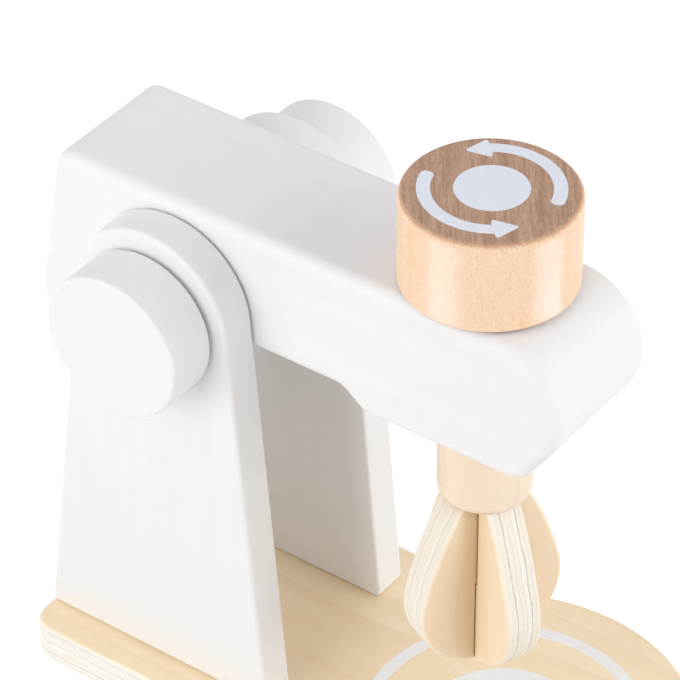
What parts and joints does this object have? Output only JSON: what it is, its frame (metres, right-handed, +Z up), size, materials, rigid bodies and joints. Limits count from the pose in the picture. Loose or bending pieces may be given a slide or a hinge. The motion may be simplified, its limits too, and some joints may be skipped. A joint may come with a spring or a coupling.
{
  "type": "toy stand mixer",
  "caption": "Wooden toy stand mixer: plywood base with a round bowl seat, two painted posts, a head that tilts up, and a plywood whisk turned by a dial on top",
  "frame": {"origin": "on the underside of the base board, straight below the axis on which the head tilts, midway between the two posts", "axes": "+X towards the nose of the head, +Y towards the left post, +Z up"},
  "size_m": [0.2068, 0.114, 0.2015],
  "materials": {
    "birch_plywood": "sealed birch plywood with bare ply edges",
    "white_paint": "solid wood under satin white paint",
    "beech": "turned beech under clear lacquer",
    "screw_steel": "zinc-plated steel",
    "washer_nylon": "grey nylon",
    "print_ink": "pale screen-printed ink"
  },
  "bodies": {
    "stand": {"base_board": "birch_plywood", "right_post": "white_paint", "left_post": "white_paint", "post_dowels": "beech", "post_screws": "screw_steel", "stop_bar": "beech"},
    "head": {"head_block": "white_paint", "right_head_washer": "washer_nylon", "left_head_washer": "washer_nylon", "dial_washer": "washer_nylon"},
    "pivot": {"pivot_axle": "beech", "right_knob": "white_paint", "left_knob": "white_paint", "right_knob_washer": "washer_nylon", "left_knob_washer": "washer_nylon"},
    "whisk": {"dial_knob": "beech", "whisk_spindle": "beech", "collar_washer": "washer_nylon", "whisk_collar": "beech", "whisk_blade_along": "birch_plywood", "whisk_blade_across": "birch_plywood"}
  },
  "joints": [
    {"name": "head_tilt", "type": "hinge", "parent": "stand", "child": "head", "pos_m": [0, 0, 0.1402], "axis": [0, -1, 0], "range_deg": [0, 55]},
    {"name": "knob_turn", "type": "hinge", "parent": "stand", "child": "pivot", "pos_m": [0, 0, 0.1402], "axis": [0, 1, 0], "continuous": true},
    {"name": "whisk_turn", "type": "hinge", "parent": "head", "child": "whisk", "pos_m": [0.09, 0, 0.15], "axis": [0, 0, 1], "continuous": true}
  ]
}
